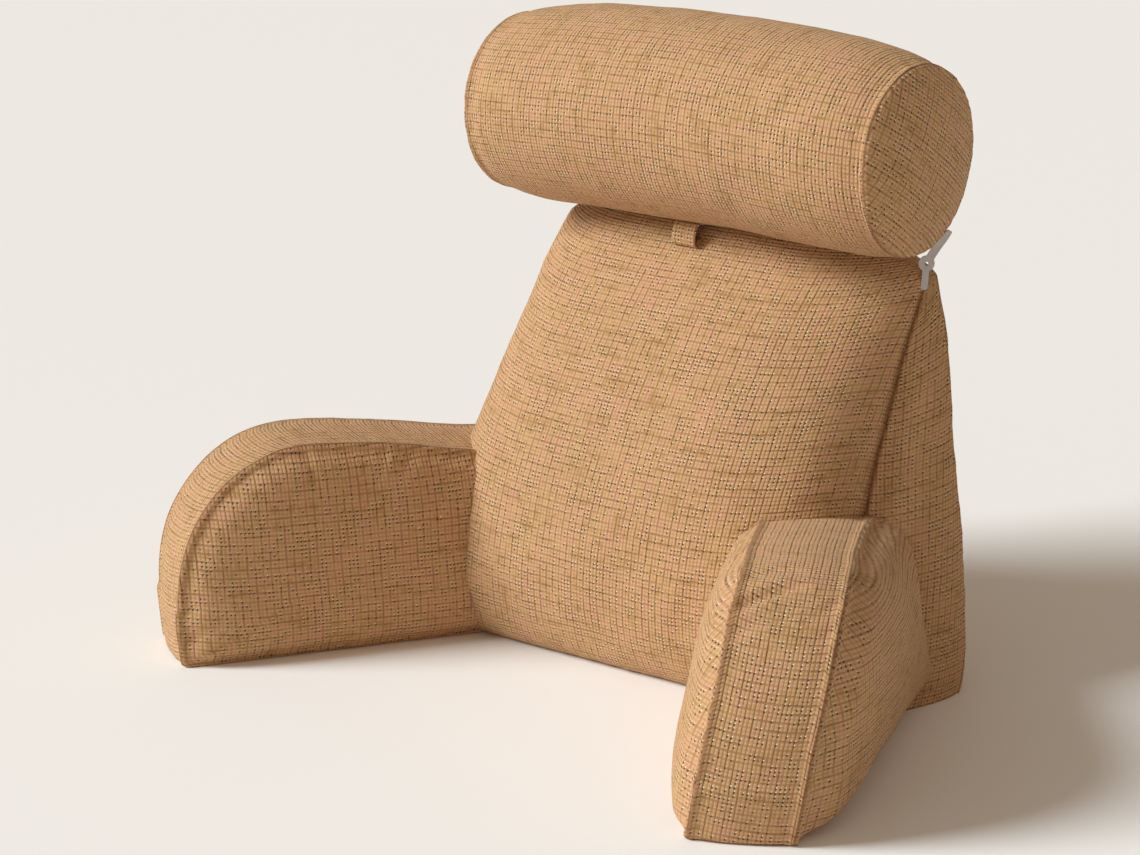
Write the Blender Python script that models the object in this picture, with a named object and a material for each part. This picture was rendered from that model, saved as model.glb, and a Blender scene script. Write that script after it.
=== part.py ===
import bpy
import bmesh
import math
import numpy as np

# Driving sizes in metres
TOP_HALF_WIDTH = 0.203
LOW_HALF_WIDTH = 0.233
BACK_LOW_HALF_WIDTH = 0.284
TOP_CORNER_Z = 0.354
TOP_MIDDLE_Z = 0.392
FRONT_LOW_Y = -0.035
FRONT_TOP_Y = 0.152
BACK_LOW_Y = 0.108
BACK_TOP_Y = 0.164
FRONT_CROWN = 0.098
BACK_CROWN = 0.050
SIDE_CROWN = 0.024
ARM_ANGLE = math.radians(31.0)
ARM_REAR_X = 0.141
ARM_REAR_Y = -0.051
ARM_LENGTH = 0.280
ARM_HEIGHT = 0.180
ARM_FRONT_WIDTH = 0.084
ARM_REAR_LOW_WIDTH = 0.150
ARM_LEAN = 0.17
ARM_REAR_HEIGHT = 0.158
INNER_CROWN = (0.025, 0.029)
OUTER_CROWN = 0.044
STRIP_CROWN = 0.006
SEAM_RAISE = 0.0030
ROLL_RADIUS = 0.0935
ROLL_HALF_LENGTH = 0.220
ROLL_DOME = 0.018
ROLL_X = -0.002
ROLL_Y = 0.108
ROLL_Z = 0.475
TAB_X = -0.010
TAB_WIDTH = 0.026
TAB_THICKNESS = 0.0016
TAB_OFFSET = 0.0016
TAPE_CENTRE = (0.2052, 0.1466, 0.3680)
TAPE_TURN = math.radians(40.0)
TAPE_EYE = 0.0070
TAPE_HOLE = 0.0016
TAPE_THICKNESS = 0.0018
TAPE_BEND = 16.6
TAPE_ARMS = ((math.radians(60.0), 0.0357, 0.0036), (math.radians(-94.0), 0.0236, 0.0030))
CLEARANCE = 0.0007
BASE_SHIFT_Y = -0.045


def clearScene():
    for obj in list(bpy.data.objects):
        bpy.data.objects.remove(obj, do_unlink=True)


def makeMaterial(name, colour, roughness):
    material = bpy.data.materials.new(name)
    material.use_nodes = True
    shader = material.node_tree.nodes["Principled BSDF"]
    shader.inputs["Base Color"].default_value = (*colour, 1.0)
    shader.inputs["Roughness"].default_value = roughness
    shader.inputs["Metallic"].default_value = 0.0
    return material


def makeSolid(name, points, faces, material):
    mesh = bpy.data.meshes.new(name)
    shifted = [(p[0], p[1] + BASE_SHIFT_Y, p[2]) for p in points]
    mesh.from_pydata(shifted, [], faces)
    shape = bmesh.new()
    shape.from_mesh(mesh)
    bmesh.ops.remove_doubles(shape, verts=shape.verts[:], dist=0.00004)
    bmesh.ops.recalc_face_normals(shape, faces=shape.faces[:])
    for face in shape.faces:
        face.smooth = True
    shape.to_mesh(mesh)
    shape.free()
    obj = bpy.data.objects.new(name, mesh)
    bpy.context.scene.collection.objects.link(obj)
    mesh.materials.append(material)
    return obj


def gridPatch(points, faces, func, across, along):
    start = len(points)
    for j in range(len(along)):
        for i in range(len(across)):
            points.append(func(across[i], along[j]))
    row = len(across)
    for j in range(len(along) - 1):
        for i in range(row - 1):
            a = start + j * row + i
            faces.append((a, a + 1, a + row + 1, a + row))


def smoothStep(value):
    t = min(1.0, max(0.0, value))
    return t * t * (3.0 - 2.0 * t)


def mix(a, b, t):
    return a + (b - a) * t


# Backrest seams, v runs from the bottom to the top
def frontSeam(v):
    x = TOP_HALF_WIDTH + (LOW_HALF_WIDTH - TOP_HALF_WIDTH) * (1.0 - v) ** 2.2
    return x, mix(FRONT_LOW_Y, FRONT_TOP_Y, v), TOP_CORNER_Z * v


def backSeam(v):
    x = TOP_HALF_WIDTH + 0.003 + (BACK_LOW_HALF_WIDTH - TOP_HALF_WIDTH - 0.003) * (1.0 - v) ** 0.9
    x = x - 0.006 * math.exp(-v / 0.05)
    y = mix(BACK_LOW_Y, BACK_TOP_Y, v ** 0.8)
    return x, y, TOP_CORNER_Z * v


def crownShape(t, sharp, power):
    return max(0.0, 1.0 - abs(t) ** sharp) ** power


def topLift(u, v):
    return (TOP_MIDDLE_Z - TOP_CORNER_Z) * crownShape(u, 2.4, 0.8) * v ** 4


def frontPoint(u, v):
    x, y, z = frontSeam(v)
    spread = crownShape(u, 3.2, 0.50)
    low = math.sin(math.pi / 2.0 * min(1.0, v / 0.46)) ** 0.62
    high = 0.16 + 0.84 * math.cos(math.pi / 2.0 * max(0.0, (v - 0.46) / 0.54)) ** 0.62
    crown = FRONT_CROWN * spread * low * high
    lean = 0.443 * smoothStep(v / 0.45)
    length = math.hypot(0.896, lean)
    y = y + 0.07 * x * u * (1.0 - v) ** 2
    y = y - crown * 0.896 / length
    z = z + crown * 0.8 * lean / length + topLift(u, v)
    return x * u, y, z


def backPoint(u, v):
    x, y, z = backSeam(v)
    spread = crownShape(u, 2.3, 0.65)
    low = min(1.0, v / 0.14)
    rise = (1.0 - (1.0 - low) ** 2.2) ** 0.55
    high = min(1.0, (1.0 - v) / 0.24)
    rise = rise * (0.25 + 0.75 * (1.0 - (1.0 - high) ** 2) ** 0.6)
    base = (1.0 - v) ** 0.8 * 0.042 * crownShape(u, 2.0, 0.8)
    crown = BACK_CROWN * spread * rise * (1.0 - 0.25 * v)
    return x * u, y + base + crown, z + topLift(u, v)


def sideBulge(w, v):
    low = 0.6 + 0.4 * math.sin(math.pi / 2.0 * min(1.0, v / 0.25))
    return SIDE_CROWN * crownShape(2.0 * w - 1.0, 2.2, 0.7) * (1.0 - v ** 1.5) * low


def sidePoint(w, v, side):
    fx, fy, fz = frontPoint(side, v)
    bx, by, bz = backPoint(side, v)
    return mix(fx, bx, w) + side * sideBulge(w, v), mix(fy, by, w), mix(fz, bz, w)


def bottomPoint(u, w):
    fx, fy, fz = frontPoint(u, 0.0)
    bx, by, bz = backPoint(u, 0.0)
    spread = abs(u) ** 3 * sideBulge(w, 0.0)
    return mix(fx, bx, w) + math.copysign(spread, u), mix(fy, by, w), 0.0


def topPoint(u, w):
    fx, fy, fz = frontPoint(u, 1.0)
    bx, by, bz = backPoint(u, 1.0)
    arch = 0.004 * math.sin(math.pi * w) * crownShape(u, 2.0, 1.0)
    return mix(fx, bx, w), mix(fy, by, w), mix(fz, bz, w) + arch


def easedSteps(count, low, high, ease):
    steps = []
    for k in range(count + 1):
        t = k / count
        s = 0.5 - 0.5 * math.cos(math.pi * t)
        steps.append(low + (high - low) * mix(t, s, ease))
    return steps


def rollRadiusAt(x):
    t = min(1.0, abs(x - ROLL_X) / ROLL_HALF_LENGTH)
    return ROLL_RADIUS * (1.0 - 0.06 * t ** 3 - 0.09 * t ** 10)


def rollSag(x):
    t = (x - ROLL_X) / ROLL_HALF_LENGTH
    return 0.001 - 0.010 * t * t


def seatRoll(point):
    x, y, z = point
    dy = y - ROLL_Y
    dz = z - ROLL_Z - rollSag(x)
    reach = math.hypot(dy, dz)
    need = rollRadiusAt(x) + 0.0010
    if reach >= need or abs(x - ROLL_X) > ROLL_HALF_LENGTH:
        return point
    return x, ROLL_Y + dy * need / reach, ROLL_Z + rollSag(x) + dz * need / reach


def buildBackrest(material):
    points = []
    faces = []
    across = easedSteps(28, -1.0, 1.0, 0.45)
    rise = easedSteps(24, 0.0, 1.0, 0.55)
    depth = easedSteps(7, 0.0, 1.0, 0.4)
    gridPatch(points, faces, frontPoint, across, rise)
    gridPatch(points, faces, backPoint, across, rise)
    gridPatch(points, faces, lambda w, v: sidePoint(w, v, 1.0), depth, rise)
    gridPatch(points, faces, lambda w, v: sidePoint(w, v, -1.0), depth, rise)
    gridPatch(points, faces, bottomPoint, across, depth)
    gridPatch(points, faces, topPoint, across, depth)
    points = [seatRoll(p) for p in points]
    return makeSolid("backrest", points, faces, material)


# Arm outline in its own plane, s forward from the rear and z up
def armOutline(count):
    rear = -0.085
    outline = []
    low = 14
    for k in range(low):
        t = k / low
        outline.append((mix(rear, ARM_LENGTH - 0.004, t), 0.0, 0))
    front = count[0]
    for k in range(front):
        t = k / front
        angle = math.pi / 2.0 * t
        reach = abs(math.cos(angle)) ** 1.02
        rise = abs(math.sin(angle)) ** 1.02
        s = 0.155 + (ARM_LENGTH - 0.158) * reach
        z = 0.052 + (ARM_HEIGHT - 0.048) * rise
        outline.append((s, z, 1))
    top = count[1]
    for k in range(top + 1):
        t = k / top
        s = mix(0.155, rear, t)
        z = mix(ARM_HEIGHT + 0.004, ARM_REAR_HEIGHT, smoothStep(t))
        outline.append((s, z, 1))
    for k in range(1, 6):
        t = k / 6
        outline.append((rear, mix(outline[low + front + top][1], 0.0, t), 2))
    return outline


def frontFoot(outline):
    fixed = []
    for s, z, part in outline:
        fixed.append((s, z, part))
        if part == 0 and len(fixed) == 14:
            for step in (0.0, 0.012, 0.026, 0.040):
                lean = 0.004 * (step / 0.052) ** 0.5
                fixed.append((ARM_LENGTH - 0.004 + lean, step, 1))
    return fixed


def armFrame(side):
    origin = np.array([side * ARM_REAR_X, ARM_REAR_Y, 0.0])
    ahead = np.array([side * math.sin(ARM_ANGLE), -math.cos(ARM_ANGLE), 0.0])
    outward = np.array([side * math.cos(ARM_ANGLE), math.sin(ARM_ANGLE), 0.0])
    return origin, ahead, outward


def armPoint(frame, s, w, z):
    origin, ahead, outward = frame
    p = origin + ahead * s + outward * w
    return p[0], p[1], z


def armInner(s, z):
    return ARM_LEAN * z


def armWidth(s, z):
    t = min(1.15, max(0.0, (ARM_LENGTH - s) / (ARM_LENGTH + 0.04)))
    low = mix(ARM_FRONT_WIDTH, ARM_REAR_LOW_WIDTH, t ** 1.15)
    return mix(low, ARM_FRONT_WIDTH, min(1.0, z / ARM_HEIGHT))


def outwardOf(outline, index):
    count = len(outline)
    before = outline[(index - 1) % count]
    after = outline[(index + 1) % count]
    ds = after[0] - before[0]
    dz = after[1] - before[1]
    length = math.hypot(ds, dz)
    return dz / length, -ds / length


def buildArm(name, side, material):
    frame = armFrame(side)
    outline = frontFoot(armOutline((12, 14)))
    count = len(outline)
    steps = (0.0, 0.045, 0.10, 0.25, 0.5, 0.75, 0.90, 0.955, 1.0)
    points = []
    faces = []
    for index in range(count):
        s, z, part = outline[index]
        ns, nz = outwardOf(outline, index)
        if part != 1 or z < 0.001:
            ns, nz = 0.0, 0.0
        width = armWidth(s, z)
        for t in steps:
            if t in (0.0, 1.0):
                lift = SEAM_RAISE
            elif t in (0.045, 0.955):
                lift = -0.0008
            else:
                lift = STRIP_CROWN * crownShape(2.0 * t - 1.0, 2.2, 0.7)
            ds = s + ns * lift
            dz = max(0.0, z + nz * lift)
            points.append(armPoint(frame, ds, armInner(s, z) + width * t, dz))
    row = len(steps)
    for index in range(count):
        after = (index + 1) % count
        for k in range(row - 1):
            faces.append((index * row + k, index * row + k + 1, after * row + k + 1, after * row + k))
    rings = (1.0, 0.965, 0.92, 0.83, 0.73, 0.63, 0.52, 0.40, 0.22)
    middleZ = 0.088
    for face in (0, 1):
        crown = INNER_CROWN[0 if side < 0 else 1] if face == 0 else OUTER_CROWN
        sign = -1.0 if face == 0 else 1.0
        middleS = 0.125 if face == 0 else 0.060
        edge = 0 if face == 0 else row - 1
        previous = [index * row + edge for index in range(count)]
        for ring in rings[1:]:
            current = []
            for index in range(count):
                s, z, part = outline[index]
                rs = mix(middleS, s, ring)
                rz = mix(middleZ, z, ring)
                width = armInner(rs, rz) if face == 0 else armInner(rs, rz) + armWidth(rs, rz)
                height = crown * (1.0 - ring ** 2.6) ** 0.62
                if ring == 0.965:
                    height = height * 0.45
                current.append(len(points))
                points.append(armPoint(frame, rs, width + sign * height, rz))
            for index in range(count):
                after = (index + 1) % count
                faces.append((previous[index], previous[after], current[after], current[index]))
            previous = current
        width = armInner(middleS, middleZ)
        if face == 1:
            width = width + armWidth(middleS, middleZ)
        points.append(armPoint(frame, middleS, width + sign * crown, middleZ))
        centre = len(points) - 1
        for index in range(count):
            after = (index + 1) % count
            faces.append((previous[index], previous[after], centre))
    return makeSolid(name, points, faces, material)


def buildRoll(material):
    around = 48
    stations = []
    body = easedSteps(20, -1.0, 1.0, 0.25)
    domes = (0.0, 0.25, 0.5, 0.72, 0.88, 0.96)
    for r in domes:
        stations.append((-ROLL_HALF_LENGTH - ROLL_DOME * (1.0 - r ** 2.6) ** 0.75, r))
    for t in body:
        raise_ = SEAM_RAISE if abs(t) > 0.999 else 0.0
        stations.append((t * ROLL_HALF_LENGTH, 1.0 + raise_ / ROLL_RADIUS))
    for r in reversed(domes):
        stations.append((ROLL_HALF_LENGTH + ROLL_DOME * (1.0 - r ** 2.6) ** 0.75, r))
    points = []
    faces = []
    for x, r in stations[1:-1]:
        radius = rollRadiusAt(ROLL_X + x) * r
        middle = ROLL_Z + rollSag(ROLL_X + x)
        for k in range(around):
            angle = 2.0 * math.pi * k / around
            points.append((ROLL_X + x, ROLL_Y + radius * math.cos(angle), middle + radius * math.sin(angle)))
    rows = len(stations) - 2
    for j in range(rows - 1):
        for k in range(around):
            a = j * around + k
            b = j * around + (k + 1) % around
            faces.append((a, b, b + around, a + around))
    for x, start in ((stations[0][0], 0), (stations[-1][0], (rows - 1) * around)):
        points.append((ROLL_X + x, ROLL_Y, ROLL_Z + rollSag(ROLL_X + x)))
        for k in range(around):
            faces.append((start + k, start + (k + 1) % around, len(points) - 1))
    return makeSolid("neck_roll", points, faces, material)


def growCopy(source, distance, name):
    mesh = source.data.copy()
    shape = bmesh.new()
    shape.from_mesh(mesh)
    shape.normal_update()
    moves = [v.normal * distance * min(1.6, v.calc_shell_factor()) for v in shape.verts]
    for vert, move in zip(shape.verts, moves):
        flat = math.hypot(vert.normal.x, vert.normal.y)
        if vert.co.z >= 0.001:
            vert.co = vert.co + move
        elif flat > 0.05:
            vert.co.x += vert.normal.x / flat * distance * 1.6
            vert.co.y += vert.normal.y / flat * distance * 1.6
    under = [face for face in shape.faces if max(v.co.z for v in face.verts) < 0.0001]
    drawn = bmesh.ops.extrude_face_region(shape, geom=under)
    lowered = [item for item in drawn["geom"] if isinstance(item, bmesh.types.BMVert)]
    bmesh.ops.translate(shape, verts=lowered, vec=(0.0, 0.0, -0.01))
    bmesh.ops.delete(shape, geom=[face for face in under if face.is_valid], context="FACES_ONLY")
    bmesh.ops.recalc_face_normals(shape, faces=shape.faces[:])
    shape.to_mesh(mesh)
    shape.free()
    cutter = bpy.data.objects.new(name, mesh)
    bpy.context.scene.collection.objects.link(cutter)
    cutter.hide_render = True
    cutter.display_type = "WIRE"
    return cutter


def cutWith(target, cutter):
    cut = target.modifiers.new("fit", "BOOLEAN")
    cut.operation = "DIFFERENCE"
    cut.solver = "EXACT"
    cut.object = cutter


def rollEdge(x, angle, offset):
    radius = rollRadiusAt(x) + offset
    return ROLL_Y + radius * math.cos(angle), ROLL_Z + rollSag(x) + radius * math.sin(angle)


def panelEdge(u, v, offset):
    here = seatRoll(frontPoint(u, v))
    ahead = seatRoll(frontPoint(u, v - 0.02))
    dy = ahead[1] - here[1]
    dz = ahead[2] - here[2]
    length = math.hypot(dy, dz)
    return here[1] + dz / length * offset, here[2] - dy / length * offset


# Folded tab in the gap, one leg on the roll and one on the front panel
def buildTab(material):
    legs = []
    for k in range(5):
        angle = math.radians(mix(265.0, 257.0, k / 4))
        legs.append(rollEdge(TAB_X, angle, TAB_OFFSET - 0.0004))
    low = []
    for k in range(4):
        low.append(panelEdge(TAB_X / TOP_HALF_WIDTH, mix(0.899, 0.914, k / 3), TAB_OFFSET))
    start = np.array(legs[-1])
    end = np.array(low[0])
    pull = np.array([-0.007, -0.002])
    bend = []
    for k in range(1, 8):
        t = k / 8
        a = start * (1 - t) ** 3 + (start + pull) * 3 * t * (1 - t) ** 2
        b = (end + pull) * 3 * t * t * (1 - t) + end * t ** 3
        bend.append(tuple(a + b))
    path = legs + bend + low
    points = []
    faces = []
    half = TAB_THICKNESS / 2.0
    section = ((-1.0, 0.0), (-0.94, 1.0), (-0.5, 1.0), (0.0, 1.0), (0.5, 1.0), (0.94, 1.0),
               (1.0, 0.0), (0.94, -1.0), (0.5, -1.0), (0.0, -1.0), (-0.5, -1.0), (-0.94, -1.0))
    for k in range(len(path)):
        before = path[max(0, k - 1)]
        after = path[min(len(path) - 1, k + 1)]
        dy = after[0] - before[0]
        dz = after[1] - before[1]
        length = math.hypot(dy, dz)
        for a, b in section:
            points.append((
                TAB_X + a * TAB_WIDTH / 2.0,
                path[k][0] - dz / length * b * half,
                path[k][1] + dy / length * b * half,
            ))
    row = len(section)
    for k in range(len(path) - 1):
        for i in range(row):
            j = (i + 1) % row
            faces.append((k * row + i, k * row + j, (k + 1) * row + j, (k + 1) * row + i))
    faces.append(tuple(range(row)))
    faces.append(tuple(range(len(points) - row, len(points))))
    return makeSolid("roll_tab", points, faces, material)


# Flat tape with an eye, cut in one plane and bent towards its two ends
def buildTape(material):
    across = np.array([math.cos(TAPE_TURN), math.sin(TAPE_TURN), 0.0])
    toward = np.array([math.sin(TAPE_TURN), -math.cos(TAPE_TURN), 0.0])
    upward = np.array([0.0, 0.0, 1.0])
    count = 56
    outer = []
    for k in range(count):
        angle = 2.0 * math.pi * k / count
        reach = TAPE_EYE
        for aim, length, half in TAPE_ARMS:
            turn = math.atan2(math.sin(angle - aim), math.cos(angle - aim))
            if abs(turn) < math.pi / 2.0 - 0.01:
                side = half / max(0.0001, abs(math.sin(turn)))
                reach = max(reach, min(length / math.cos(turn), side))
        outer.append((reach * math.cos(angle), reach * math.sin(angle)))
    points = []
    faces = []
    half = TAPE_THICKNESS / 2.0
    layers = ((1.0, 0.0), (0.94, 1.0), (None, 1.0), (None, -1.0), (0.94, -1.0))
    for scale, level in layers:
        for k in range(count):
            angle = 2.0 * math.pi * k / count
            if scale is None:
                a = TAPE_HOLE * math.cos(angle)
                b = TAPE_HOLE * math.sin(angle)
            else:
                a = outer[k][0] * scale
                b = outer[k][1] * scale
            bend = TAPE_BEND * max(0.0, b - TAPE_EYE) ** 2
            centre = np.array(TAPE_CENTRE) + across * a + upward * b
            points.append(tuple(centre + toward * (level * half + bend)))
    total = len(layers)
    for layer in range(total):
        for k in range(count):
            j = (k + 1) % count
            after = (layer + 1) % total
            faces.append((layer * count + k, layer * count + j, after * count + j, after * count + k))
    return makeSolid("tie_tape", points, faces, material)


clearScene()
cloth = makeMaterial("check_cloth", (0.48, 0.27, 0.125), 0.9)
clothLeft = makeMaterial("check_cloth_left", (0.48, 0.27, 0.125), 0.9)
clothRight = makeMaterial("check_cloth_right", (0.48, 0.27, 0.125), 0.9)
clothRoll = makeMaterial("check_cloth_roll", (0.48, 0.27, 0.125), 0.9)
clothTab = makeMaterial("check_cloth_tab", (0.50, 0.29, 0.14), 0.9)
paleTape = makeMaterial("pale_tape", (0.62, 0.58, 0.56), 0.5)
backrest = buildBackrest(cloth)
armLeft = buildArm("arm_left", -1.0, clothLeft)
armRight = buildArm("arm_right", 1.0, clothRight)
neckRoll = buildRoll(clothRoll)
rollTab = buildTab(clothTab)
tieTape = buildTape(paleTape)
cutter = growCopy(backrest, CLEARANCE, "backrest_space")
cutWith(armLeft, cutter)
cutWith(armRight, cutter)
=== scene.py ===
import math
import bpy
import bmesh
import numpy as np
from mathutils import Matrix, Vector, noise


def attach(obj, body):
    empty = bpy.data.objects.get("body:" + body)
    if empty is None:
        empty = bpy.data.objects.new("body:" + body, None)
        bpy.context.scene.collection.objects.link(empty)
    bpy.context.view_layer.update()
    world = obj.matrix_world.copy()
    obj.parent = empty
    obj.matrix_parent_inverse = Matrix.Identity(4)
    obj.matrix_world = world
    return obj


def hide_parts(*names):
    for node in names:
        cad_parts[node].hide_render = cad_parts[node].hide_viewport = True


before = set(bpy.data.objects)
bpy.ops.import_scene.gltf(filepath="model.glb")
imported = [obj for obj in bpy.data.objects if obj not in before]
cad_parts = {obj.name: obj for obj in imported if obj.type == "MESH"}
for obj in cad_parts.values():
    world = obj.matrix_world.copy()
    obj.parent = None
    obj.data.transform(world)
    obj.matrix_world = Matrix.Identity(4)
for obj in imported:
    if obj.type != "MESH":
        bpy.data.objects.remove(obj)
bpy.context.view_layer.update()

# the part's own shift, so every formula below can use the sewing pattern's numbers
baseShift = -0.045


def mix(a, b, t):
    return a + (b - a) * t


def smoothStep(value):
    t = min(1.0, max(0.0, value))
    return t * t * (3.0 - 2.0 * t)


def crownShape(t, sharp, power):
    return max(0.0, 1.0 - abs(t) ** sharp) ** power


def easeArray(values):
    t = np.clip(values, 0.0, 1.0)
    return t * t * (3.0 - 2.0 * t)


def softNoise(a, b, c):
    return noise.noise(Vector((a, b, c)))


noiseOver = np.vectorize(softNoise)


# shader wiring: one wire is one socket, and sums of wires become Math nodes
class Wire:
    def __init__(self, shade, socket):
        self.shade = shade
        self.socket = socket

    def sum(self, operation, first, second):
        return self.shade.node("ShaderNodeMath", {"operation": operation}, {0: first, 1: second})

    def __add__(self, other):
        return self.sum("ADD", self, other)

    def __radd__(self, other):
        return self.sum("ADD", other, self)

    def __sub__(self, other):
        return self.sum("SUBTRACT", self, other)

    def __rsub__(self, other):
        return self.sum("SUBTRACT", other, self)

    def __mul__(self, other):
        return self.sum("MULTIPLY", self, other)

    def __rmul__(self, other):
        return self.sum("MULTIPLY", other, self)

    def __truediv__(self, other):
        return self.sum("DIVIDE", self, other)

    def __pow__(self, other):
        return self.sum("POWER", self, other)


class Shade:
    def __init__(self, name):
        self.material = bpy.data.materials.new(name)
        self.material.use_nodes = True
        self.tree = self.material.node_tree
        self.shader = self.tree.nodes["Principled BSDF"]

    def node(self, kind, settings=None, values=None, output=0):
        made = self.tree.nodes.new(kind)
        for key, value in (settings or {}).items():
            setattr(made, key, value)
        for key, value in (values or {}).items():
            self.plug(made.inputs[key], value)
        return Wire(self, made.outputs[output])

    def plug(self, socket, value):
        if isinstance(value, Wire):
            self.tree.links.new(value.socket, socket)
        elif isinstance(value, tuple) and len(value) == 3 and socket.type == "RGBA":
            socket.default_value = (*value, 1.0)
        else:
            socket.default_value = value

    def low(self, a, b):
        return self.node("ShaderNodeMath", {"operation": "MINIMUM"}, {0: a, 1: b})

    def whole(self, a):
        return self.node("ShaderNodeMath", {"operation": "FLOOR"}, {0: a})

    def part(self, a):
        return self.node("ShaderNodeMath", {"operation": "FRACT"}, {0: a})

    def point(self, a, b, c=0.0):
        return self.node("ShaderNodeCombineXYZ", None, {"X": a, "Y": b, "Z": c})

    def ease(self, value, low, high, start=0.0, end=1.0):
        settings = {"interpolation_type": "SMOOTHSTEP"}
        return self.node("ShaderNodeMapRange", settings, {0: value, 1: low, 2: high, 3: start, 4: end})

    def cloud(self, place, scale, detail=2.0):
        return self.node("ShaderNodeTexNoise", {"noise_dimensions": "3D"},
                         {"Vector": place, "Scale": scale, "Detail": detail, "Roughness": 0.55})

    def chance(self, place):
        return self.node("ShaderNodeTexWhiteNoise", {"noise_dimensions": "3D"}, {"Vector": place})

    def blend(self, amount, first, second):
        return self.node("ShaderNodeMix", {"data_type": "RGBA"}, {0: amount, 6: first, 7: second}, 2)

    def feed(self, **values):
        names = {"colour": "Base Color", "roughness": "Roughness", "normal": "Normal"}
        for key, value in values.items():
            self.plug(self.shader.inputs[names[key]], value)


clothLook = dict(
    pitch=0.0035,  # one thread pair of the weave, and every second line is a strong one
    wander=0.0015,
    pinkTan=(0.640, 0.352, 0.192),
    yellowTan=(0.625, 0.390, 0.178),
    deepTan=(0.430, 0.212, 0.092),
    line=(0.200, 0.078, 0.026),
    # near-black painted shade seen inside the weave's small gaps
    hole=(0.022, 0.009, 0.004),
    # pale painted glints beside some gaps
    paintedGlintSpeck=(0.960, 0.850, 0.640),
    bump=0.0011,
)


def wovenCheck(name, seed):
    look = clothLook
    shade = Shade(name)
    uv = shade.node("ShaderNodeUVMap", {"uv_map": "grain"})
    flat = shade.node("ShaderNodeSeparateXYZ", None, {0: uv})
    s = flat
    t = Wire(shade, flat.socket.node.outputs[1])
    # threads are never quite straight
    waveS = shade.cloud(shade.point(s, t, seed), 30.0)
    waveT = shade.cloud(shade.point(t, s, seed + 4.0), 30.0)
    a = (s + (waveS - 0.5) * look["wander"]) / look["pitch"]
    b = (t + (waveT - 0.5) * look["wander"]) / look["pitch"]
    column = shade.whole(a)
    row = shade.whole(b)
    inA = shade.part(a)
    inB = shade.part(b)
    fromA = shade.low(inA, 1.0 - inA)
    fromB = shade.low(inB, 1.0 - inB)
    lineA = shade.whole(a + 0.5)
    lineB = shade.whole(b + 0.5)
    majorA = shade.part(lineA * 0.5) * 2.0
    majorB = shade.part(lineB * 0.5) * 2.0
    # slub: each thread line's own strength, changing slowly along it
    slubA = shade.cloud(shade.point(lineA * 7.31, b * 0.13, seed), 1.0)
    slubB = shade.cloud(shade.point(lineB * 5.17, a * 0.13, seed + 9.0), 1.0)
    strongA = (0.34 + 0.66 * shade.ease(slubA, 0.36, 0.66)) * (0.34 + 0.66 * majorA)
    strongB = (0.42 + 0.58 * shade.ease(slubB, 0.36, 0.66)) * (0.38 + 0.62 * majorB)
    grooveA = shade.ease(fromA, 0.02, 0.36, 1.0, 0.0) * (0.12 + 0.88 * strongA)
    grooveB = shade.ease(fromB, 0.02, 0.38, 1.0, 0.0) * (0.16 + 0.84 * strongB)
    groove = 1.0 - (1.0 - grooveA) * (1.0 - grooveB)
    # small gaps at the crossings of strong lines, in loose clusters, coloured near-black as painted shade
    # inside the gaps, with a painted glint (a pale speck) beside some
    cluster = shade.cloud(shade.point(s, t, seed + 17.0), 30.0, 3.0)
    corner = shade.chance(shade.point(lineA, lineB, seed))
    reach = (fromA * fromA + fromB * fromB) ** 0.5
    isOpen = shade.ease(corner + cluster * 1.3 + majorA * majorB * 0.10, 1.30, 1.44)
    hole = shade.ease(reach, 0.12, 0.30, 1.0, 0.0) * isOpen
    offA = a - lineA - 0.10
    offB = b - lineB - 0.34
    near = (offA * offA * 2.2 + offB * offB) ** 0.5
    paintedGlintSpeck = shade.ease(near, 0.10, 0.28, 1.0, 0.0) * shade.ease(corner + cluster * 1.3, 1.36, 1.46)
    # the tone of a cell comes from both of its threads
    toneA = shade.cloud(shade.point(shade.whole(a * 0.5) * 0.83, b * 0.06, seed + 21.0), 1.0)
    toneB = shade.cloud(shade.point(shade.whole(b * 0.5) * 0.79, a * 0.06, seed + 31.0), 1.0)
    cell = shade.chance(shade.point(column, row, seed + 3.0))
    warm = shade.ease(toneA * 0.55 + toneB * 0.45 + cell * 0.08, 0.42, 0.64)
    deep = shade.ease(toneB * 0.62 + toneA * 0.30 + cell * 0.12, 0.50, 0.70) * 0.62
    # per-point painted seam shade, read from the mesh
    paintedSeamShade = shade.node("ShaderNodeAttribute", {"attribute_name": "paintedSeamShade"}, None, 2)
    colour = shade.blend(warm, look["pinkTan"], look["yellowTan"])
    colour = shade.blend(deep, colour, look["deepTan"])
    colour = shade.blend(groove * 0.58, colour, look["line"])
    # painted glint: pale specks beside some gaps, whatever the light
    colour = shade.blend(paintedGlintSpeck * 0.85, colour, look["paintedGlintSpeck"])
    # painted shade: the small gaps are coloured near-black
    colour = shade.blend(hole * 0.88, colour, look["hole"])
    # painted shade: along each seam the colour is pulled towards the dark thread colour, standing in for
    # the shade in the seam's groove
    colour = shade.blend(paintedSeamShade * 0.72, colour, look["line"])
    fibre = shade.cloud(shade.point(s, t, seed + 2.0), 1300.0, 2.0)
    height = (1.0 - groove * 0.9) * (1.0 - hole * 0.6) + paintedGlintSpeck * 0.2 + fibre * 0.22
    relief = {"Strength": 0.9, "Distance": look["bump"], "Height": height}
    normal = shade.node("ShaderNodeBump", None, relief)
    shade.feed(colour=colour, roughness=0.80 + groove * 0.14, normal=normal)
    shade.shader.inputs["Sheen Weight"].default_value = 0.16
    shade.shader.inputs["Sheen Roughness"].default_value = 0.45
    shade.shader.inputs["Sheen Tint"].default_value = (1.0, 0.82, 0.62, 1.0)
    shade.shader.inputs["Specular IOR Level"].default_value = 0.22
    return shade.material


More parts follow.
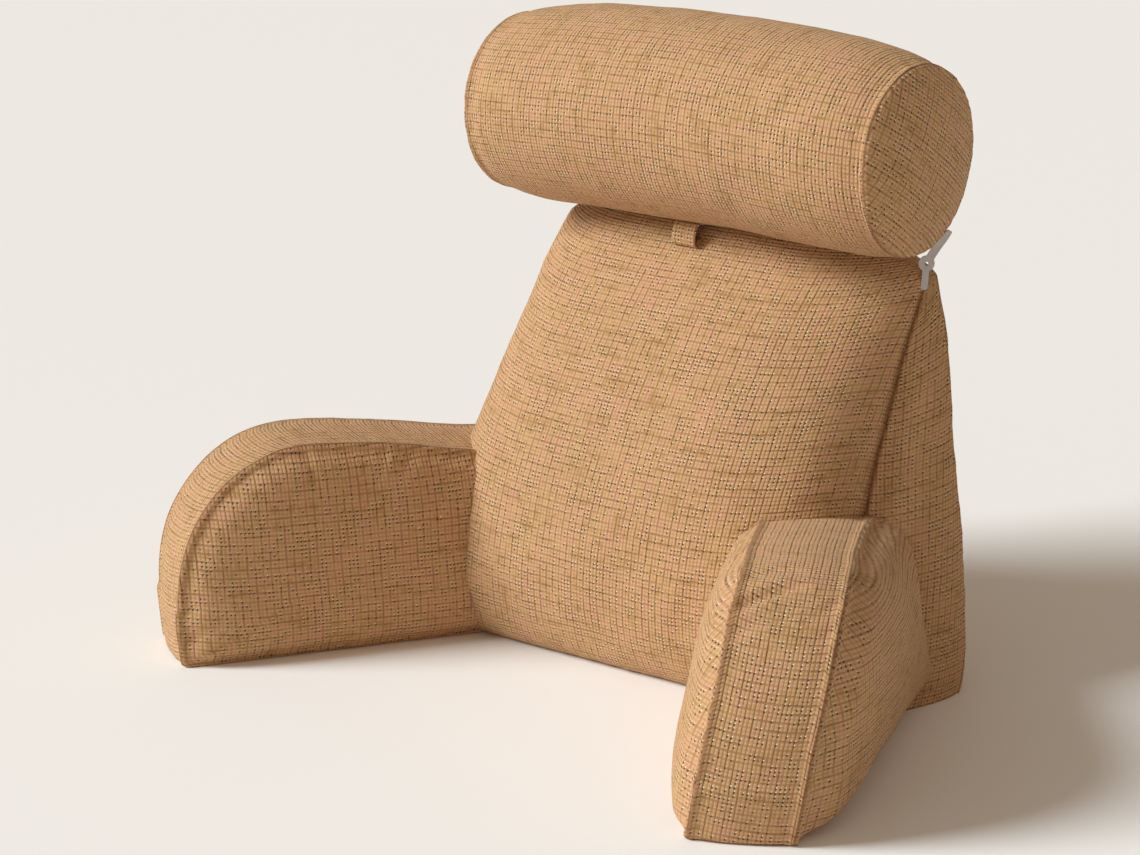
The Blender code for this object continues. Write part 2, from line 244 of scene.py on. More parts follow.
def paleWeb(name):
    shade = Shade(name)
    place = shade.node("ShaderNodeTexCoord", None, None, "Object")
    ribs = shade.node("ShaderNodeTexWave", {"wave_type": "BANDS", "bands_direction": "Z"},
                      {"Vector": place, "Scale": 420.0, "Distortion": 1.5, "Detail": 1.0}, "Fac")
    cloud = shade.cloud(place, 160.0)
    colour = shade.blend(cloud * 0.5 + ribs * 0.3, (0.70, 0.66, 0.64), (0.50, 0.44, 0.42))
    relief = {"Strength": 0.6, "Distance": 0.0004, "Height": ribs + cloud}
    normal = shade.node("ShaderNodeBump", None, relief)
    shade.feed(colour=colour, roughness=0.42 + cloud * 0.2, normal=normal)
    shade.shader.inputs["Sheen Weight"].default_value = 0.15
    return shade.material


# panels: a flat grid whose points are carried onto the sewn shape
seamShadeWidth = 0.0017  # how far the painted seam shade, a dark band standing in for the shade in the seam's groove, fades out from a seam
seamHold = 0.0008  # relief grows from nothing at a seam to its full height over this distance


def seamSteps(length, pitch, low=0.0, high=1.0):
    close = [0.0, 0.0009, 0.0020, 0.0034, 0.0052, 0.0074]
    clear = length - 2.0 * close[-1]
    count = max(3, round(clear / pitch))
    middle = [close[-1] + clear * k / count for k in range(1, count)]
    far = [length - d for d in reversed(close)]
    return [mix(low, high, d / length) for d in close + middle + far]


def runLength(spot, axis):
    steps = np.linalg.norm(np.diff(spot, axis=axis), axis=2)
    start = np.zeros_like(np.take(steps, [0], axis=axis))
    return np.concatenate([start, np.cumsum(steps, axis=axis)], axis=axis)


def gridNormal(spot, wrap):
    if wrap:
        spot = np.concatenate([spot[:, -2:-1], spot, spot[:, 1:2]], axis=1)
    east = np.gradient(spot, axis=1)
    north = np.gradient(spot, axis=0)
    if wrap:
        east = east[:, 1:-1]
        north = north[:, 1:-1]
    normal = np.cross(east, north)
    length = np.linalg.norm(normal, axis=2, keepdims=True)
    return normal / np.maximum(length, 1e-12)


def clothPanel(shape, across, rise, place, relief=None, weave=None, heart=(0.0, 0.0, 0.0),
               wrap=False, turn=(0.0, 0.0), sewn=()):
    columns = len(across)
    rows = len(rise)
    made = bmesh.ops.create_grid(shape, x_segments=columns - 1, y_segments=rows - 1, size=1.0)
    spot = np.array([[place(u, v) for u in across] for v in rise])
    east = runLength(spot, 1)
    north = runLength(spot, 0)
    sides = dict(left=east, right=east[:, -1:] - east, low=north, top=north[-1:] - north)
    if relief is not None:
        normal = gridNormal(spot, wrap)
        outward = np.sum(normal * (spot - np.array(heart)))
        sign = 1.0 if outward > 0.0 else -1.0
        edges = dict(sides, east=east, north=north, spot=spot)
        spot = spot + normal * (sign * relief(edges))[..., None]
    if weave is None:
        grainS = east - east[:, -1:] / 2.0 + turn[0]
        grainT = north + turn[1]
    else:
        flat = np.array([[weave(u, v) for u in across] for v in rise])
        grainS = flat[..., 0]
        grainT = flat[..., 1]
    layer = shape.loops.layers.uv.get("grain")
    paintedSeamShade = shape.verts.layers.float.get("paintedSeamShade")
    # painted shade near the seams listed in sewn, kept per point for the cloth's colour
    seamShadeLevel = np.zeros_like(east)
    for name in sewn:
        seamShadeLevel = np.maximum(seamShadeLevel, np.exp(-(sides[name] / seamShadeWidth) ** 2))
    where = {}
    for vert in made["verts"]:
        i = round((vert.co.x + 1.0) / 2.0 * (columns - 1))
        j = round((vert.co.y + 1.0) / 2.0 * (rows - 1))
        where[vert] = (j, i)
        x, y, z = spot[j, i]
        vert.co = (x, y + baseShift, max(0.0, z))
        vert[paintedSeamShade] = seamShadeLevel[j, i]
    for vert in made["verts"]:
        for loop in vert.link_loops:
            j, i = where[vert]
            loop[layer].uv = (grainS[j, i], grainT[j, i])


def seamRelief(distance, along, seam, seed):
    welt = seam["welt"] * np.exp(-((distance - seam["at"]) / seam["width"]) ** 2)
    pull = noiseOver(along / seam["gather"], seed, 0.0)
    pull = pull + 0.5 * noiseOver(along / (0.43 * seam["gather"]), seed + 5.0, 0.0)
    group = 0.35 + 0.65 * easeArray(noiseOver(along / 0.075, seed + 9.0, 0.0) * 1.6 + 0.5)
    reach = distance / seam["reach"]
    return welt + seam["pucker"] * pull * group * reach * np.exp(1.0 - reach)


def gateEdges(edges, names):
    gate = np.ones_like(edges["east"])
    for name in names:
        gate = np.minimum(gate, np.clip(edges[name] / seamHold, 0.0, 1.0))
    return gate


def openShape():
    shape = bmesh.new()
    shape.loops.layers.uv.new("grain")
    shape.verts.layers.float.new("paintedSeamShade")
    return shape


def closeShape(shape, name, material, weld=0.00012):
    bmesh.ops.remove_doubles(shape, verts=shape.verts[:], dist=weld)
    bmesh.ops.recalc_face_normals(shape, faces=shape.faces[:])
    for face in shape.faces:
        face.smooth = True
    mesh = bpy.data.meshes.new(name)
    shape.to_mesh(mesh)
    shape.free()
    piece = bpy.data.objects.new(name, mesh)
    bpy.context.scene.collection.objects.link(piece)
    mesh.materials.append(material)
    return piece


def pressCrease(shape, path, depth, width, lip=0.35):
    # a fold line along a given path: a valley with a soft lip on both sides
    points = [Vector((x, y, z)) for x, y, z in path]
    spans = [(points[k + 1] - points[k]).length for k in range(len(points) - 1)]
    total = sum(spans)
    moves = []
    shape.normal_update()
    low = Vector([min(p[k] for p in points) - 4.0 * width for k in range(3)])
    high = Vector([max(p[k] for p in points) + 4.0 * width for k in range(3)])
    for vert in shape.verts:
        c = vert.co
        if not all(low[k] <= c[k] <= high[k] for k in range(3)):
            continue
        best = 1.0
        place = 0.0
        done = 0.0
        for k, span in enumerate(spans):
            ahead = points[k + 1] - points[k]
            t = min(1.0, max(0.0, (c - points[k]).dot(ahead) / (span * span)))
            gap = (c - points[k] - ahead * t).length
            if gap < best:
                best = gap
                place = (done + span * t) / total
            done = done + span
        fade = math.sin(math.pi * min(1.0, max(0.0, 0.06 + 0.88 * place))) ** 0.6
        ratio = best / width
        push = -math.exp(-ratio * ratio) + lip * math.exp(-((ratio - 1.9) / 0.8) ** 2)
        moves.append((vert, vert.normal * (push * depth * fade)))
    for vert, move in moves:
        vert.co = vert.co + move
        vert.co.z = max(0.0, vert.co.z)


# backrest
backrest = dict(
    topHalf=0.203, lowHalf=0.233, backLowHalf=0.284,
    cornerZ=0.354, middleZ=0.392,
    frontLowY=-0.035, frontTopY=0.152, backLowY=0.108, backTopY=0.164,
    frontCrown=0.098, backCrown=0.050, sideCrown=0.024,
    pitch=0.0036, settle=0.0022,
    creases=(
        dict(path=((-0.1411, -0.1048, 0.1136), (-0.1421, -0.1120, 0.0819), (-0.1369, -0.1144, 0.0561),
                   (-0.1177, -0.1130, 0.0311), (-0.1061, -0.1097, 0.0212)), depth=-0.0013, width=0.0045),
        dict(path=((0.1175, -0.1014, 0.1076), (0.1095, -0.1048, 0.0930), (0.1036, -0.1066, 0.0690),
                   (0.0993, -0.1049, 0.0443)), depth=0.0014, width=0.0090),
        dict(path=((0.2090, 0.0047, 0.1690), (0.2009, -0.0217, 0.1790), (0.1848, -0.0434, 0.1810)),
             depth=0.0014, width=0.0060),
    ),
    seam=dict(welt=0.0019, at=0.0034, width=0.0024, gather=0.016, pucker=0.0016, reach=0.010),
)

roll = dict(
    radius=0.0935, half=0.220, dome=0.018, x=-0.002, y=0.108, z=0.475,
    gap=0.0010, raised=0.0026, ridge=0.0024, around=168, endRadius=0.080, discTurn=math.radians(32.0),
    pitch=0.0036, settle=0.0016,
    seam=dict(welt=0.0016, at=0.0030, width=0.0022, gather=0.014, pucker=0.0016, reach=0.009),
)


def rollRadiusAt(x):
    t = min(1.0, abs(x - roll["x"]) / roll["half"])
    return roll["radius"] * (1.0 - 0.06 * t ** 3 - 0.09 * t ** 10)


def rollSag(x):
    t = (x - roll["x"]) / roll["half"]
    return 0.001 - 0.010 * t * t


def seatRoll(x, y, z):
    dy = y - roll["y"]
    dz = z - roll["z"] - rollSag(x)
    reach = math.hypot(dy, dz)
    need = rollRadiusAt(x) + roll["gap"]
    if reach >= need or abs(x - roll["x"]) > roll["half"]:
        return x, y, z
    return x, roll["y"] + dy * need / reach, roll["z"] + rollSag(x) + dz * need / reach


def frontSeam(v):
    b = backrest
    x = b["topHalf"] + (b["lowHalf"] - b["topHalf"]) * (1.0 - v) ** 2.2
    return x, mix(b["frontLowY"], b["frontTopY"], v), b["cornerZ"] * v


def backSeam(v):
    b = backrest
    x = b["topHalf"] + 0.003 + (b["backLowHalf"] - b["topHalf"] - 0.003) * (1.0 - v) ** 0.9
    x = x - 0.006 * math.exp(-v / 0.05)
    return x, mix(b["backLowY"], b["backTopY"], v ** 0.8), b["cornerZ"] * v


def topLift(u, v):
    return (backrest["middleZ"] - backrest["cornerZ"]) * crownShape(u, 2.4, 0.8) * v ** 4


def frontPoint(u, v):
    x, y, z = frontSeam(v)
    spread = crownShape(u, 3.2, 0.50)
    low = math.sin(math.pi / 2.0 * min(1.0, v / 0.46)) ** 0.62
    high = 0.16 + 0.84 * math.cos(math.pi / 2.0 * max(0.0, (v - 0.46) / 0.54)) ** 0.62
    crown = backrest["frontCrown"] * spread * low * high
    lean = 0.443 * smoothStep(v / 0.45)
    length = math.hypot(0.896, lean)
    y = y + 0.07 * x * u * (1.0 - v) ** 2 - crown * 0.896 / length
    z = z + crown * 0.8 * lean / length + topLift(u, v)
    return x * u, y, z


def backPoint(u, v):
    x, y, z = backSeam(v)
    spread = crownShape(u, 2.3, 0.65)
    low = min(1.0, v / 0.14)
    rise = (1.0 - (1.0 - low) ** 2.2) ** 0.55
    high = min(1.0, (1.0 - v) / 0.24)
    rise = rise * (0.25 + 0.75 * (1.0 - (1.0 - high) ** 2) ** 0.6)
    base = (1.0 - v) ** 0.8 * 0.042 * crownShape(u, 2.0, 0.8)
    crown = backrest["backCrown"] * spread * rise * (1.0 - 0.25 * v)
    return x * u, y + base + crown, z + topLift(u, v)


def sideBulge(w, v):
    low = 0.6 + 0.4 * math.sin(math.pi / 2.0 * min(1.0, v / 0.25))
    return backrest["sideCrown"] * crownShape(2.0 * w - 1.0, 2.2, 0.7) * (1.0 - v ** 1.5) * low


def sidePoint(w, v, side):
    fx, fy, fz = frontPoint(side, v)
    bx, by, bz = backPoint(side, v)
    return mix(fx, bx, w) + side * sideBulge(w, v), mix(fy, by, w), mix(fz, bz, w)


def bottomPoint(u, w):
    fx, fy, fz = frontPoint(u, 0.0)
    bx, by, bz = backPoint(u, 0.0)
    return mix(fx, bx, w) + math.copysign(abs(u) ** 3 * sideBulge(w, 0.0), u), mix(fy, by, w), 0.0


def topPoint(u, w):
    fx, fy, fz = frontPoint(u, 1.0)
    bx, by, bz = backPoint(u, 1.0)
    arch = 0.004 * math.sin(math.pi * w) * crownShape(u, 2.0, 1.0)
    return mix(fx, bx, w), mix(fy, by, w), mix(fz, bz, w) + arch


def settled(x, y, z, amount, seed):
    # slow unevenness of the filling, the same wherever two panels share a point
    hold = smoothStep(z / 0.03)
    size = 0.085
    dx = softNoise(x / size + seed, y / size, z / size)
    dy = softNoise(x / size, y / size + seed + 7.0, z / size)
    dz = softNoise(x / size, y / size, z / size + seed + 13.0)
    return x + dx * amount * hold, y + dy * amount * hold, z + dz * amount * 0.6 * hold


def onBackrest(place):
    def carried(u, v):
        x, y, z = place(u, v)
        x, y, z = settled(x, y, z, backrest["settle"], 1.0)
        return seatRoll(x, y, z)
    return carried


def fillingLumps(edges, amount, seed):
    spot = edges["spot"]
    broad = noiseOver(spot[..., 0] / 0.045, spot[..., 1] / 0.045, spot[..., 2] / 0.045 + seed)
    fine = noiseOver(spot[..., 0] / 0.017, spot[..., 1] / 0.017, spot[..., 2] / 0.017 + seed + 3.0)
    return amount * (broad + 0.35 * fine)


def makeBackrest(material):
    b = backrest
    shape = openShape()
    across = seamSteps(0.44, b["pitch"], -1.0, 1.0)
    rise = seamSteps(0.40, b["pitch"])
    depth = seamSteps(0.13, b["pitch"])
    heart = (0.0, 0.08, 0.18)

    def mainRelief(seed):
        def relief(edges):
            seam = b["seam"]
            lift = seamRelief(edges["left"], edges["north"], seam, seed)
            lift = lift + seamRelief(edges["right"], edges["north"], seam, seed + 2.0)
            lift = lift + seamRelief(edges["low"], edges["east"], seam, seed + 4.0) * 0.6
            lift = lift + fillingLumps(edges, 0.0011, seed)
            clear = easeArray((edges["top"] - 0.012) / 0.05)
            return lift * clear * gateEdges(edges, ("left", "right", "low", "top"))
        return relief

    def sideRelief(seed):
        def relief(edges):
            seam = b["seam"]
            lift = seamRelief(edges["left"], edges["north"], seam, seed)
            lift = lift + seamRelief(edges["right"], edges["north"], seam, seed + 1.0)
            lift = lift + fillingLumps(edges, 0.0010, seed)
            clear = easeArray((edges["top"] - 0.004) / 0.03)
            return lift * clear * gateEdges(edges, ("left", "right", "low", "top"))
        return relief

    clothPanel(shape, across, rise, onBackrest(frontPoint), mainRelief(3.0), None, heart,
               sewn=("left", "right"))
    clothPanel(shape, across, rise, onBackrest(backPoint), mainRelief(11.0), None, heart,
               turn=(0.7, 0.3), sewn=("left", "right", "low"))
    for side in (1.0, -1.0):
        place = onBackrest(lambda w, v: sidePoint(w, v, side))
        clothPanel(shape, depth, rise, place, sideRelief(5.0 if side > 0 else 8.0), None, heart,
                   turn=(side * 1.5, 0.1), sewn=("left", "right"))
    clothPanel(shape, across, depth, onBackrest(bottomPoint), None, None, heart, turn=(2.2, 0.4))
    clothPanel(shape, across, depth, onBackrest(topPoint), None, None, heart, turn=(2.9, 0.2))
    for crease in b["creases"]:
        pressCrease(shape, crease["path"], crease["depth"], crease["width"])
    return closeShape(shape, "backrestCover", material)


# arms
arm = dict(
    angle=math.radians(31.0), rearX=0.141, rearY=-0.051,
    length=0.280, height=0.180, frontWidth=0.084, rearLowWidth=0.150,
    lean=0.17, rearHeight=0.158, rear=-0.085,
    innerCrown=(0.025, 0.029), outerCrown=0.044, stripCrown=0.006, raised=0.0034, ridge=0.0026,
    innerMiddle=(0.125, 0.088), outerMiddle=(0.060, 0.088), radial=0.110, ringPitch=0.0046,
    pitch=0.0034, settle=0.0018,
    seam=dict(welt=0.0019, at=0.0032, width=0.0023, gather=0.015, pucker=0.0021, reach=0.010),
    creases=(
        dict(path=((0.2760, -0.2600, 0.1660), (0.2835, -0.2521, 0.1745), (0.2908, -0.2411, 0.1790),
                   (0.2994, -0.2291, 0.1818), (0.3095, -0.2204, 0.1826)), depth=0.0042, width=0.0050),
        dict(path=((0.2637, -0.2349, 0.1801), (0.2705, -0.2243, 0.1855), (0.2799, -0.2131, 0.1880),
                   (0.2934, -0.2063, 0.1883)), depth=0.0018, width=0.0060),
        dict(path=((0.2877, -0.2768, 0.1560), (0.2955, -0.2679, 0.1628), (0.3055, -0.2581, 0.1665),
                   (0.3190, -0.2477, 0.1684)), depth=0.0016, width=0.0055),
        dict(path=((0.3418, -0.2077, 0.1766), (0.3380, -0.2184, 0.1737), (0.3331, -0.2302, 0.1718)),
             depth=0.0016, width=0.0045),
        dict(path=((0.3525, -0.2331, 0.1599), (0.3478, -0.2424, 0.1574), (0.3409, -0.2512, 0.1557)),
             depth=0.0014, width=0.0045),
        dict(path=((0.2726, -0.2545, 0.1735), (0.2636, -0.2567, 0.1669), (0.2545, -0.2601, 0.1574)),
             depth=0.0015, width=0.0050),
    ),
    stripSeam=dict(welt=0.0010, at=0.0042, width=0.0024, gather=0.015, pucker=0.0014, reach=0.009),
)


def evenRun(points, pitch):
    points = np.array(points)
    steps = np.linalg.norm(np.diff(points, axis=0), axis=1)
    run = np.concatenate([[0.0], np.cumsum(steps)])
    count = max(2, round(run[-1] / pitch))
    at = np.linspace(0.0, run[-1], count + 1)
    return [(np.interp(d, run, points[:, 0]), np.interp(d, run, points[:, 1])) for d in at]


def armOutline():
    # s forward and z up in the arm's own plane: bottom, then front and top, then rear
    a = arm
    toe = a["length"] - 0.004
    bottom = [(a["rear"], 0.0), (toe, 0.0)]
    face = [(toe + 0.004 * (step / 0.052) ** 0.5, step) for step in np.linspace(0.0, 0.046, 12)]
    for k in range(49):
        turn = math.pi / 2.0 * k / 48
        reach = abs(math.cos(turn)) ** 1.02
        rise = abs(math.sin(turn)) ** 1.02
        face.append((0.155 + (a["length"] - 0.158) * reach, 0.052 + (a["height"] - 0.048) * rise))
    for k in range(1, 41):
        t = k / 40
        face.append((mix(0.155, a["rear"], t), mix(a["height"] + 0.004, a["rearHeight"], smoothStep(t))))
    back = [(a["rear"], a["rearHeight"]), (a["rear"], 0.0)]
    runs = [evenRun(bottom, 0.008), evenRun(face, a["pitch"]), evenRun(back, 0.012)]
    outline = []
    for kind, run in enumerate(runs):
        outline.extend((s, z, kind) for s, z in run[:-1])
    return outline


def armInner(s, z):
    return arm["lean"] * z


def armWidth(s, z):
    a = arm
    t = min(1.15, max(0.0, (a["length"] - s) / (a["length"] + 0.04)))
    low = mix(a["frontWidth"], a["rearLowWidth"], t ** 1.15)
    return mix(low, a["frontWidth"], min(1.0, z / a["height"]))


def makeArm(name, side, material):
    a = arm
    origin = np.array([side * a["rearX"], a["rearY"], 0.0])
    ahead = np.array([side * math.sin(a["angle"]), -math.cos(a["angle"]), 0.0])
    outward = np.array([side * math.cos(a["angle"]), math.sin(a["angle"]), 0.0])
    heart = origin + ahead * 0.10 + outward * 0.06 + np.array([0.0, 0.0, 0.09])
    seed = 20.0 + 10.0 * side
    outline = armOutline()
    count = len(outline)
    shape = openShape()
    run = [0.0]
    for k in range(count):
        s, z, kind = outline[k]
        t, y, kind = outline[(k + 1) % count]
        run.append(run[-1] + math.hypot(t - s, y - z))

    def armPoint(s, w, z):
        p = origin + ahead * s + outward * w
        x, y, z = settled(p[0], p[1], z, a["settle"], seed)
        return x, y, max(0.0, z)

    def normalAt(k):
        before = outline[(k - 1) % count]
        after = outline[(k + 1) % count]
        ds = after[0] - before[0]
        dz = after[1] - before[1]
        length = math.hypot(ds, dz)
        s, z, kind = outline[k % count]
        if kind != 1 or z < 0.001:
            return 0.0, 0.0
        return dz / length, -ds / length

    def stripPoint(t, v):
        k = round(v) % count
        s, z, kind = outline[k]
        ns, nz = normalAt(k)
        width = armWidth(s, z)
        edge = min(t, 1.0 - t) * width
        lift = a["raised"] * math.exp(-(edge / a["ridge"]) ** 2)
        lift = lift + a["stripCrown"] * crownShape(2.0 * t - 1.0, 2.2, 0.7)
        return armPoint(s + ns * lift, armInner(s, z) + width * t, z + nz * lift)

    def stripRelief(edges):
        place = edges["north"][:, :1] + 0.0 * edges["north"]
        lift = seamRelief(edges["left"], place, a["stripSeam"], seed)
        lift = lift + seamRelief(edges["right"], place, a["stripSeam"], seed + 3.0)
        lift = lift + fillingLumps(edges, 0.0007, seed)
        rows = np.array([1.0 if outline[k % count][2] == 1 else 0.0 for k in range(count + 1)])
        return lift * rows[:, None] * gateEdges(edges, ("left", "right"))

    across = seamSteps(0.10, a["pitch"])
    along = list(range(count + 1))
    clothPanel(shape, across, along, stripPoint, stripRelief, None, heart,
               turn=(seed, 0.0), sewn=("left", "right"))

    rings = [1.0 - d for d in seamSteps(2.0 * a["radial"], a["ringPitch"], 0.0, 2.0) if d < 0.98]
    rings.append(0.0)
    for face in (0, 1):
        crown = a["innerCrown"][0 if side < 0 else 1] if face == 0 else a["outerCrown"]
        away = -1.0 if face == 0 else 1.0
        middle = a["innerMiddle"] if face == 0 else a["outerMiddle"]
        edgeT = 0.0 if face == 0 else 1.0

        def facePoint(k, ring):
            s, z, kind = outline[round(k) % count]
            ns, nz = normalAt(round(k))
            rs = mix(middle[0], s + ns * a["raised"], ring)
            rz = mix(middle[1], z + nz * a["raised"], ring)
            flatS = mix(middle[0], s, ring)
            flatZ = mix(middle[1], z, ring)
            width = armInner(flatS, flatZ) + edgeT * armWidth(flatS, flatZ)
            height = crown * (1.0 - ring ** 2.6) ** 0.62 * mix(0.16, 1.0, smoothStep((1.0 - ring) / 0.15))
            return armPoint(rs, width + away * height, rz)

        def faceGrain(k, ring):
            s, z, kind = outline[round(k) % count]
            return mix(middle[0], s, ring) + seed + face * 0.9, mix(middle[1], z, ring)

        def faceRelief(edges):
            place = np.array(run)[None, :] + 0.0 * edges["low"]
            lift = seamRelief(edges["low"], place, a["seam"], seed + 3.0 * face)
            lift = lift + fillingLumps(edges, 0.0009, seed + face)
            return lift * gateEdges(edges, ("low",))

        clothPanel(shape, along, rings, facePoint, faceRelief, faceGrain, heart, wrap=True, sewn=("low",))
    for crease in a["creases"]:
        if side > 0:
            pressCrease(shape, crease["path"], crease["depth"], crease["width"])
    return closeShape(shape, name, material)


# neck roll
def makeRoll(material):
    r = roll
    shape = openShape()
    around = r["around"]
    turns = list(range(around + 1))
    length = 2.0 * r["half"]
    stations = seamSteps(length, r["pitch"], -1.0, 1.0)
    heart = (r["x"], r["y"], r["z"])

    def rollPoint(x, radius, k):
        angle = 2.0 * math.pi * (k % around) / around
        x = x + r["x"]
        y = r["y"] + radius * math.cos(angle)
        z = r["z"] + rollSag(x) + radius * math.sin(angle)
        return settled(x, y, z, r["settle"], 41.0)

    def tubePoint(k, t):
        x = t * r["half"]
        edge = (1.0 - abs(t)) * r["half"]
        lift = r["raised"] * math.exp(-(edge / r["ridge"]) ** 2)
        return rollPoint(x, rollRadiusAt(r["x"] + x) + lift, k)

    def tubeRelief(edges):
        arc = edges["east"]
        lift = seamRelief(edges["low"], arc, r["seam"], 43.0)
        lift = lift + seamRelief(edges["top"], arc, r["seam"], 47.0)
        lumps = fillingLumps(edges, 0.0008, 44.0)
        return (lift + lumps) * gateEdges(edges, ("low", "top"))

    clothPanel(shape, turns, stations, tubePoint, tubeRelief, None, heart,
               wrap=True, turn=(5.0, 0.0), sewn=("low", "top"))
    rings = [1.0 - d for d in seamSteps(2.0 * r["endRadius"], 0.0040, 0.0, 2.0) if d < 0.98]
    rings.append(0.0)
    for side in (-1.0, 1.0):
        def discPoint(k, ring):
            radius = (rollRadiusAt(r["x"] + side * r["half"]) + r["raised"]) * ring
            x = side * (r["half"] + r["dome"] * (1.0 - ring ** 2.6) ** 0.75)
            return rollPoint(x, radius, k)

        def discGrain(k, ring):
            angle = 2.0 * math.pi * k / around + r["discTurn"]
            reach = r["endRadius"] * ring
            return 8.0 + side + reach * math.cos(angle), reach * math.sin(angle)

        def discRelief(edges):
            arc = 0.0 * edges["low"] + np.array(turns)[None, :] * (2.0 * math.pi * r["endRadius"] / around)
            lift = seamRelief(edges["low"], arc, r["seam"], 43.0 if side < 0 else 47.0)
            return (lift + fillingLumps(edges, 0.0006, 50.0 + side)) * gateEdges(edges, ("low",))

        clothPanel(shape, turns, rings, discPoint, discRelief, discGrain, heart, wrap=True, sewn=("low",))
    return closeShape(shape, "neckRollCover", material)


# tab under the roll and tape at its right end
tab = dict(
    x=-0.010, width=0.026, thick=0.0013, offset=0.0016,
    turn=(265.0, 257.0), rise=(0.899, 0.914), pull=(-0.007, -0.002),
)


def rollEdge(x, angle, offset):
    radius = rollRadiusAt(x) + offset
    return roll["y"] + radius * math.cos(angle), roll["z"] + rollSag(x) + radius * math.sin(angle)


def panelEdge(u, v, offset):
    here = seatRoll(*frontPoint(u, v))
    ahead = seatRoll(*frontPoint(u, v - 0.02))
    dy = ahead[1] - here[1]
    dz = ahead[2] - here[2]
    length = math.hypot(dy, dz)
    return here[1] + dz / length * offset, here[2] - dy / length * offset


def makeTab(material):
    t = tab
    legs = [rollEdge(t["x"], math.radians(mix(*t["turn"], k / 4)), t["offset"] - 0.0004) for k in range(5)]
    low = [panelEdge(t["x"] / backrest["topHalf"], mix(*t["rise"], k / 3), t["offset"]) for k in range(4)]
    start = np.array(legs[-1])
    end = np.array(low[0])
    pull = np.array(t["pull"])
    bend = []
    for k in range(1, 10):
        q = k / 10
        first = start * (1 - q) ** 3 + (start + pull) * 3 * q * (1 - q) ** 2
        bend.append(tuple(first + (end + pull) * 3 * q * q * (1 - q) + end * q ** 3))
    path = evenRun(legs + bend + low, 0.0016)
    shape = openShape()

    def tabPoint(u, k):
        y, z = path[round(k)]
        return t["x"] + u * t["width"] / 2.0, y, z

    across = [mix(-1.0, 1.0, k / 14) for k in range(15)]
    clothPanel(shape, across, list(range(len(path))), tabPoint, turn=(9.0, 0.0))
    piece = closeShape(shape, "rollTabCloth", material)
    wall = piece.modifiers.new("wall", "SOLIDIFY")
    wall.thickness = t["thick"]
    wall.offset = 0.0
    run = sum(math.dist(path[k], path[k + 1]) for k in range(len(path) - 1))
    return piece, run


tape = dict(
    centre=(0.2052, 0.1466, 0.3680), turn=math.radians(40.0),
    eye=0.0070, hole=0.0016, thick=0.0016, bend=16.6,
    arms=((math.radians(60.0), 0.0357, 0.0036), (math.radians(-94.0), 0.0236, 0.0030)),
)


def makeTape(material):
    t = tape
    across = np.array([math.cos(t["turn"]), math.sin(t["turn"]), 0.0])
    toward = np.array([math.sin(t["turn"]), -math.cos(t["turn"]), 0.0])
    upward = np.array([0.0, 0.0, 1.0])
    count = 96
    shape = openShape()

    def edgeReach(angle):
        reach = t["eye"]
        for aim, length, half in t["arms"]:
            turn = math.atan2(math.sin(angle - aim), math.cos(angle - aim))
            if abs(turn) < math.pi / 2.0 - 0.01:
                reach = max(reach, min(length / math.cos(turn), half / max(0.0001, abs(math.sin(turn)))))
        return reach

    def tapePoint(k, ring):
        angle = 2.0 * math.pi * (k % count) / count
        reach = mix(t["hole"], edgeReach(angle), ring)
        a = reach * math.cos(angle)
        b = reach * math.sin(angle)
        bend = t["bend"] * max(0.0, b - t["eye"]) ** 2
        return tuple(np.array(t["centre"]) + across * a + upward * b + toward * bend)

    rings = [0.0, 0.12, 0.25, 0.4, 0.55, 0.7, 0.85, 0.95, 1.0]
    clothPanel(shape, list(range(count + 1)), rings, tapePoint, wrap=True)
    piece = closeShape(shape, "tieTapeWeb", material, 0.00002)
    wall = piece.modifiers.new("wall", "SOLIDIFY")
    wall.thickness = t["thick"]
    wall.offset = 0.0
    flatArea = sum(polygon.area for polygon in piece.data.polygons)
    return piece, flatArea


# studio: camera at the product shot's angle, one soft key light, even air and a pale floor
studio = dict(
    azimuth=39.92976,
    elevation=16.81593,
    distance=2.57866,
    target=(-0.00948, -0.12402, 0.22987),
    lens=93.6,
    air=dict(colour=(1.0, 0.84, 0.68), strength=0.34),
    key=dict(
        toward=(-0.62, -0.60, 0.54), strength=3.7,
        colour=(0.90, 0.96, 1.0), spread=math.radians(24.0),
    ),
    floor=(0.95, 0.93, 0.90),
    floorHalf=14.0,
)


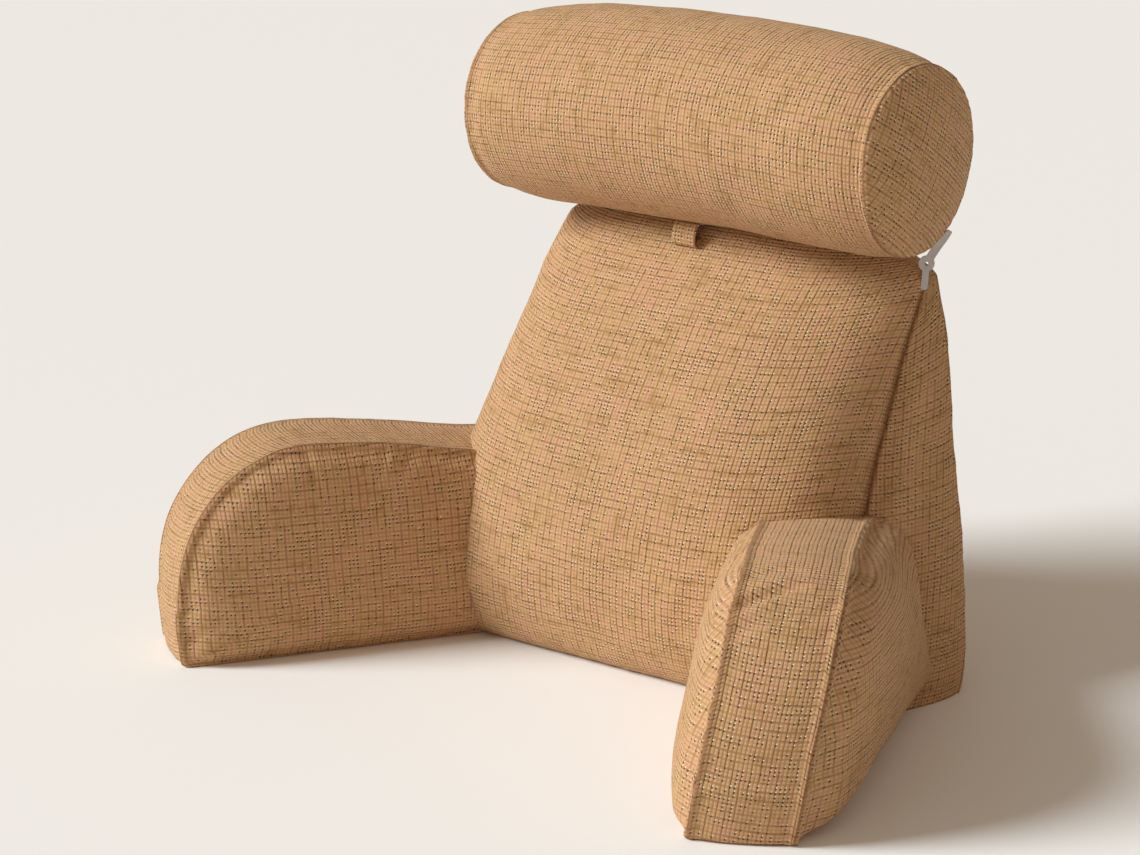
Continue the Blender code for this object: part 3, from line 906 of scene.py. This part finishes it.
def makeStudio():
    s = studio
    scene = bpy.context.scene
    az = math.radians(s["azimuth"])
    el = math.radians(s["elevation"])
    back = Vector((math.sin(az) * math.cos(el), -math.cos(az) * math.cos(el), math.sin(el)))
    right = Vector((math.cos(az), math.sin(az), 0.0))
    up = back.cross(right)
    eye = Vector(s["target"]) + back * s["distance"]
    lens = bpy.data.cameras.new("productCamera")
    lens.sensor_width = 36.0
    lens.lens = s["lens"]
    camera = bpy.data.objects.new("productCamera", lens)
    camera.matrix_world = Matrix((
        (right.x, up.x, back.x, eye.x),
        (right.y, up.y, back.y, eye.y),
        (right.z, up.z, back.z, eye.z),
        (0.0, 0.0, 0.0, 1.0),
    ))
    scene.collection.objects.link(camera)
    scene.camera = camera

    world = bpy.data.worlds.new("studioAir")
    world.use_nodes = True
    air = world.node_tree.nodes["Background"]
    air.inputs["Color"].default_value = (*s["air"]["colour"], 1.0)
    air.inputs["Strength"].default_value = s["air"]["strength"]
    scene.world = world
    scene.view_settings.view_transform = "Standard"

    lamp = bpy.data.lights.new("keyPanel", "SUN")
    lamp.energy = s["key"]["strength"]
    lamp.color = s["key"]["colour"]
    lamp.angle = s["key"]["spread"]
    holder = bpy.data.objects.new("keyPanel", lamp)
    toward = Vector(s["key"]["toward"])
    holder.location = toward * 4.0
    holder.rotation_euler = (-toward).to_track_quat("-Z", "Y").to_euler()
    scene.collection.objects.link(holder)

    shape = bmesh.new()
    bmesh.ops.create_grid(shape, x_segments=1, y_segments=1, size=s["floorHalf"])
    mesh = bpy.data.meshes.new("studioFloor")
    shape.to_mesh(mesh)
    shape.free()
    floor = bpy.data.objects.new("studioFloor", mesh)
    scene.collection.objects.link(floor)
    paper = Shade("palePaper")
    paper.shader.inputs["Base Color"].default_value = (*s["floor"], 1.0)
    paper.shader.inputs["Roughness"].default_value = 0.9
    mesh.materials.append(paper.material)


makeStudio()
print("studio ready")

mainCloth = wovenCheck("wovenCheckMain", 1.0)
armCloth = wovenCheck("wovenCheckArms", 2.0)
rollCloth = wovenCheck("wovenCheckRoll", 3.0)
webCloth = paleWeb("paleWeb")
print("cloths ready")

backCover = makeBackrest(mainCloth)
print("backrest cover", len(backCover.data.polygons))
leftCover = makeArm("armLeftCover", -1.0, armCloth)
rightCover = makeArm("armRightCover", 1.0, armCloth)
print("arm covers", len(leftCover.data.polygons), len(rightCover.data.polygons))
rollCover = makeRoll(rollCloth)
print("roll cover", len(rollCover.data.polygons))
tabCloth, tabRun = makeTab(rollCloth)
tapeWeb, tapeArea = makeTape(webCloth)
print("tab and tape", round(tabRun, 4), round(tapeArea, 6))

for piece, node in (
    (backCover, "backrest"),
    (leftCover, "arm_left"),
    (rightCover, "arm_right"),
    (rollCover, "neck_roll"),
    (tabCloth, "roll_tab"),
    (tapeWeb, "tie_tape"),
):
    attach(piece, "root")
    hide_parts(node)
